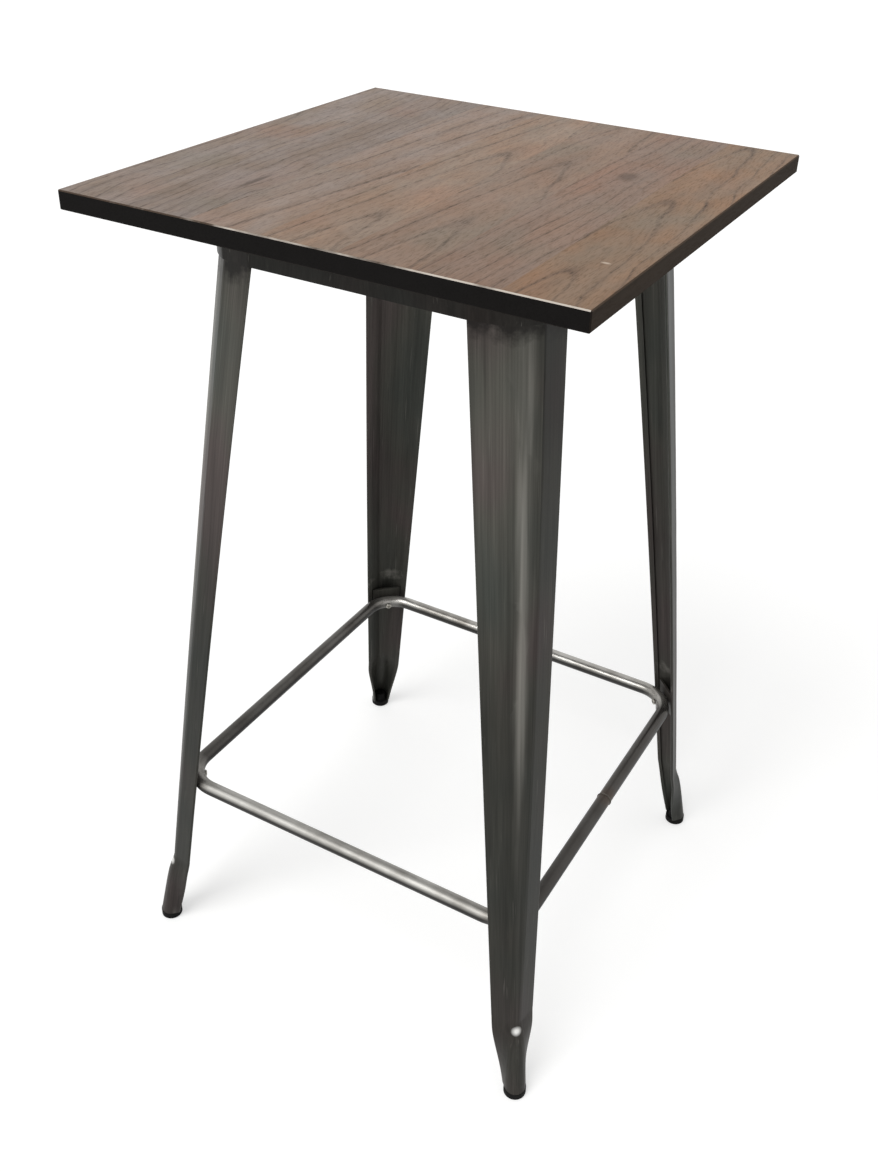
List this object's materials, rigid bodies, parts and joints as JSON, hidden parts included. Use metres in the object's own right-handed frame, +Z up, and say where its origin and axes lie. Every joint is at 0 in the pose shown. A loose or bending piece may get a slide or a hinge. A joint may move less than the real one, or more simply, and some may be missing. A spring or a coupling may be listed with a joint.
{
  "type": "pub table",
  "caption": "Tall square pub table: glued board top on a steel band, splayed pressed-sheet legs with rubber feet, and a square tube footrest ring.",
  "frame": {"origin": "on the floor, under the middle of the top", "axes": "+Z up, +X to the right-front side, -Y to the left-front side with the board ends"},
  "size_m": [0.6036, 0.6036, 1.08],
  "materials": {
    "wood_top": "grey-brown stained boards, matt, dark edges",
    "dark_steel": "raw dark steel under clear coat, satin",
    "bright_tube": "brushed bright tube, semi-gloss",
    "black_rubber": "matt black",
    "screw_steel": "zinc plated"
  },
  "bodies": {
    "root": {"top_board_1": "wood_top", "top_board_2": "wood_top", "top_board_3": "wood_top", "top_board_4": "wood_top", "top_board_5": "wood_top", "top_board_6": "wood_top", "top_board_7": "wood_top", "apron_rail_left_front": "dark_steel", "apron_rail_right_front": "dark_steel", "apron_rail_right_back": "dark_steel", "apron_rail_left_back": "dark_steel", "corner_sleeve_back_right": "dark_steel", "corner_sleeve_back_left": "dark_steel", "corner_sleeve_front_left": "dark_steel", "corner_sleeve_front_right": "dark_steel", "leg_back_right": "dark_steel", "leg_back_left": "dark_steel", "leg_front_left": "dark_steel", "leg_front_right": "dark_steel", "rubber_foot_back_right": "black_rubber", "rubber_foot_back_left": "black_rubber", "rubber_foot_front_left": "black_rubber", "rubber_foot_front_right": "black_rubber", "footrest_ring": "bright_tube", "ring_bracket_back_right": "dark_steel", "ring_bracket_back_left": "dark_steel", "ring_bracket_front_left": "dark_steel", "ring_bracket_front_right": "dark_steel", "ring_screws": "screw_steel", "ring_nuts": "screw_steel", "top_screws": "screw_steel"}
  },
  "joints": []
}
